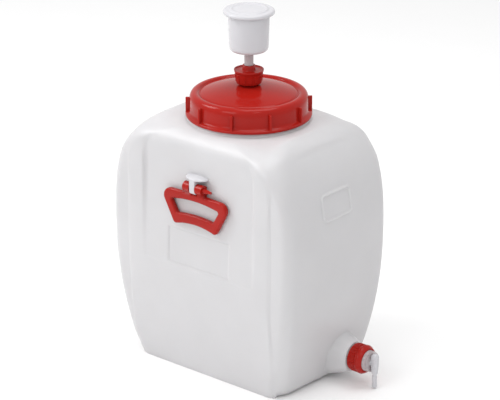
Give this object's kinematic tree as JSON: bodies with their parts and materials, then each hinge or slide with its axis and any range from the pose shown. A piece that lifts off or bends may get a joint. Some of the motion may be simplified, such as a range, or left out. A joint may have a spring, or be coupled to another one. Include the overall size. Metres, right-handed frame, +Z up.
{
  "type": "fermentation barrel with tap",
  "caption": "Translucent square-shouldered fermentation barrel with a red screw lid, a water airlock, swinging carry handles and a turning drain tap held by a union nut.",
  "frame": {"origin": "on the floor under the middle of the whole object, half way from the front of the tap to the back of the barrel", "axes": "+Z up, the tap faces -Y, the handles hang on the -X and +X faces"},
  "size_m": [0.354, 0.547, 0.749],
  "materials": {
    "barrel_plastic": "satin translucent polyethylene",
    "red_plastic": "glossy moulded",
    "white_plastic": "smooth translucent moulded",
    "seal_rubber": "smooth",
    "o_ring_rubber": "smooth"
  },
  "bodies": {
    "barrel": {"barrel": "barrel_plastic", "barrel_base": "barrel_plastic", "barrel_neck": "barrel_plastic", "drain_spigot": "barrel_plastic", "handle_lug_left": "barrel_plastic", "handle_lug_right": "barrel_plastic"},
    "lid_carrier": {"lid_seal": "seal_rubber"},
    "lid": {"lid": "red_plastic"},
    "airlock_carrier": {"airlock_seal": "seal_rubber"},
    "airlock_cap": {"airlock_cap": "red_plastic"},
    "airlock": {"airlock_cup": "white_plastic", "airlock_tube": "white_plastic"},
    "airlock_bell": {"airlock_bell": "white_plastic"},
    "airlock_cover": {"airlock_cover": "white_plastic"},
    "handle_left": {"handle_left": "red_plastic", "handle_pin_left": "red_plastic"},
    "handle_right": {"handle_right": "red_plastic", "handle_pin_right": "red_plastic"},
    "tap": {"tap_body": "white_plastic", "tap_seal": "seal_rubber"},
    "tap_nut": {"tap_nut": "red_plastic"},
    "spout": {"tap_spout": "white_plastic", "tap_o_rings": "o_ring_rubber"}
  },
  "joints": [
    {"name": "lid_rise", "type": "slide", "parent": "barrel", "child": "lid_carrier", "axis": [0, 0, 1], "range_m": [0, 0.0181]},
    {"name": "lid_turn", "type": "hinge", "parent": "lid_carrier", "child": "lid", "pos_m": [0, 0.03345, 0.565], "axis": [0, 0, 1], "range_deg": [0, 720]},
    {"name": "airlock_cap_rise", "type": "slide", "parent": "lid", "child": "airlock_carrier", "axis": [0, 0, 1], "range_m": [0, 0.0091]},
    {"name": "airlock_cap_turn", "type": "hinge", "parent": "airlock_carrier", "child": "airlock_cap", "pos_m": [0, 0.03345, 0.614], "axis": [0, 0, 1], "range_deg": [0, 1080]},
    {"name": "airlock_pull", "type": "slide", "parent": "airlock_carrier", "child": "airlock", "axis": [0, 0, 1], "range_m": [0, 0.03]},
    {"name": "bell_float", "type": "slide", "parent": "airlock", "child": "airlock_bell", "axis": [0, 0, 1], "range_m": [0, 0.012]},
    {"name": "cover_lift", "type": "slide", "parent": "airlock", "child": "airlock_cover", "axis": [0, 0, 1], "range_m": [0, 0.03]},
    {"name": "handle_left_swing", "type": "hinge", "parent": "barrel", "child": "handle_left", "pos_m": [-0.1665, 0.03345, 0.418], "axis": [0, 1, 0], "range_deg": [0, 120]},
    {"name": "handle_right_swing", "type": "hinge", "parent": "barrel", "child": "handle_right", "pos_m": [0.1665, 0.03345, 0.418], "axis": [0, -1, 0], "range_deg": [0, 120]},
    {"name": "tap_draw", "type": "slide", "parent": "barrel", "child": "tap", "axis": [0, -1, 0], "range_m": [0, 0.0121]},
    {"name": "tap_nut_turn", "type": "hinge", "parent": "tap", "child": "tap_nut", "pos_m": [0.036, -0.24805, 0.0565], "axis": [0, -1, 0], "range_deg": [0, 1080]},
    {"name": "spout_turn", "type": "hinge", "parent": "tap", "child": "spout", "pos_m": [0.036, -0.26155, 0.0565], "axis": [0, -1, 0], "range_deg": [-90, 90]}
  ],
  "couplings": [
    {"joint": "lid_rise", "follows": "lid_turn", "m_per_rad": 0.0014324},
    {"joint": "airlock_cap_rise", "follows": "airlock_cap_turn", "m_per_rad": 0.00047746},
    {"joint": "tap_draw", "follows": "tap_nut_turn", "m_per_rad": 0.00063662}
  ]
}
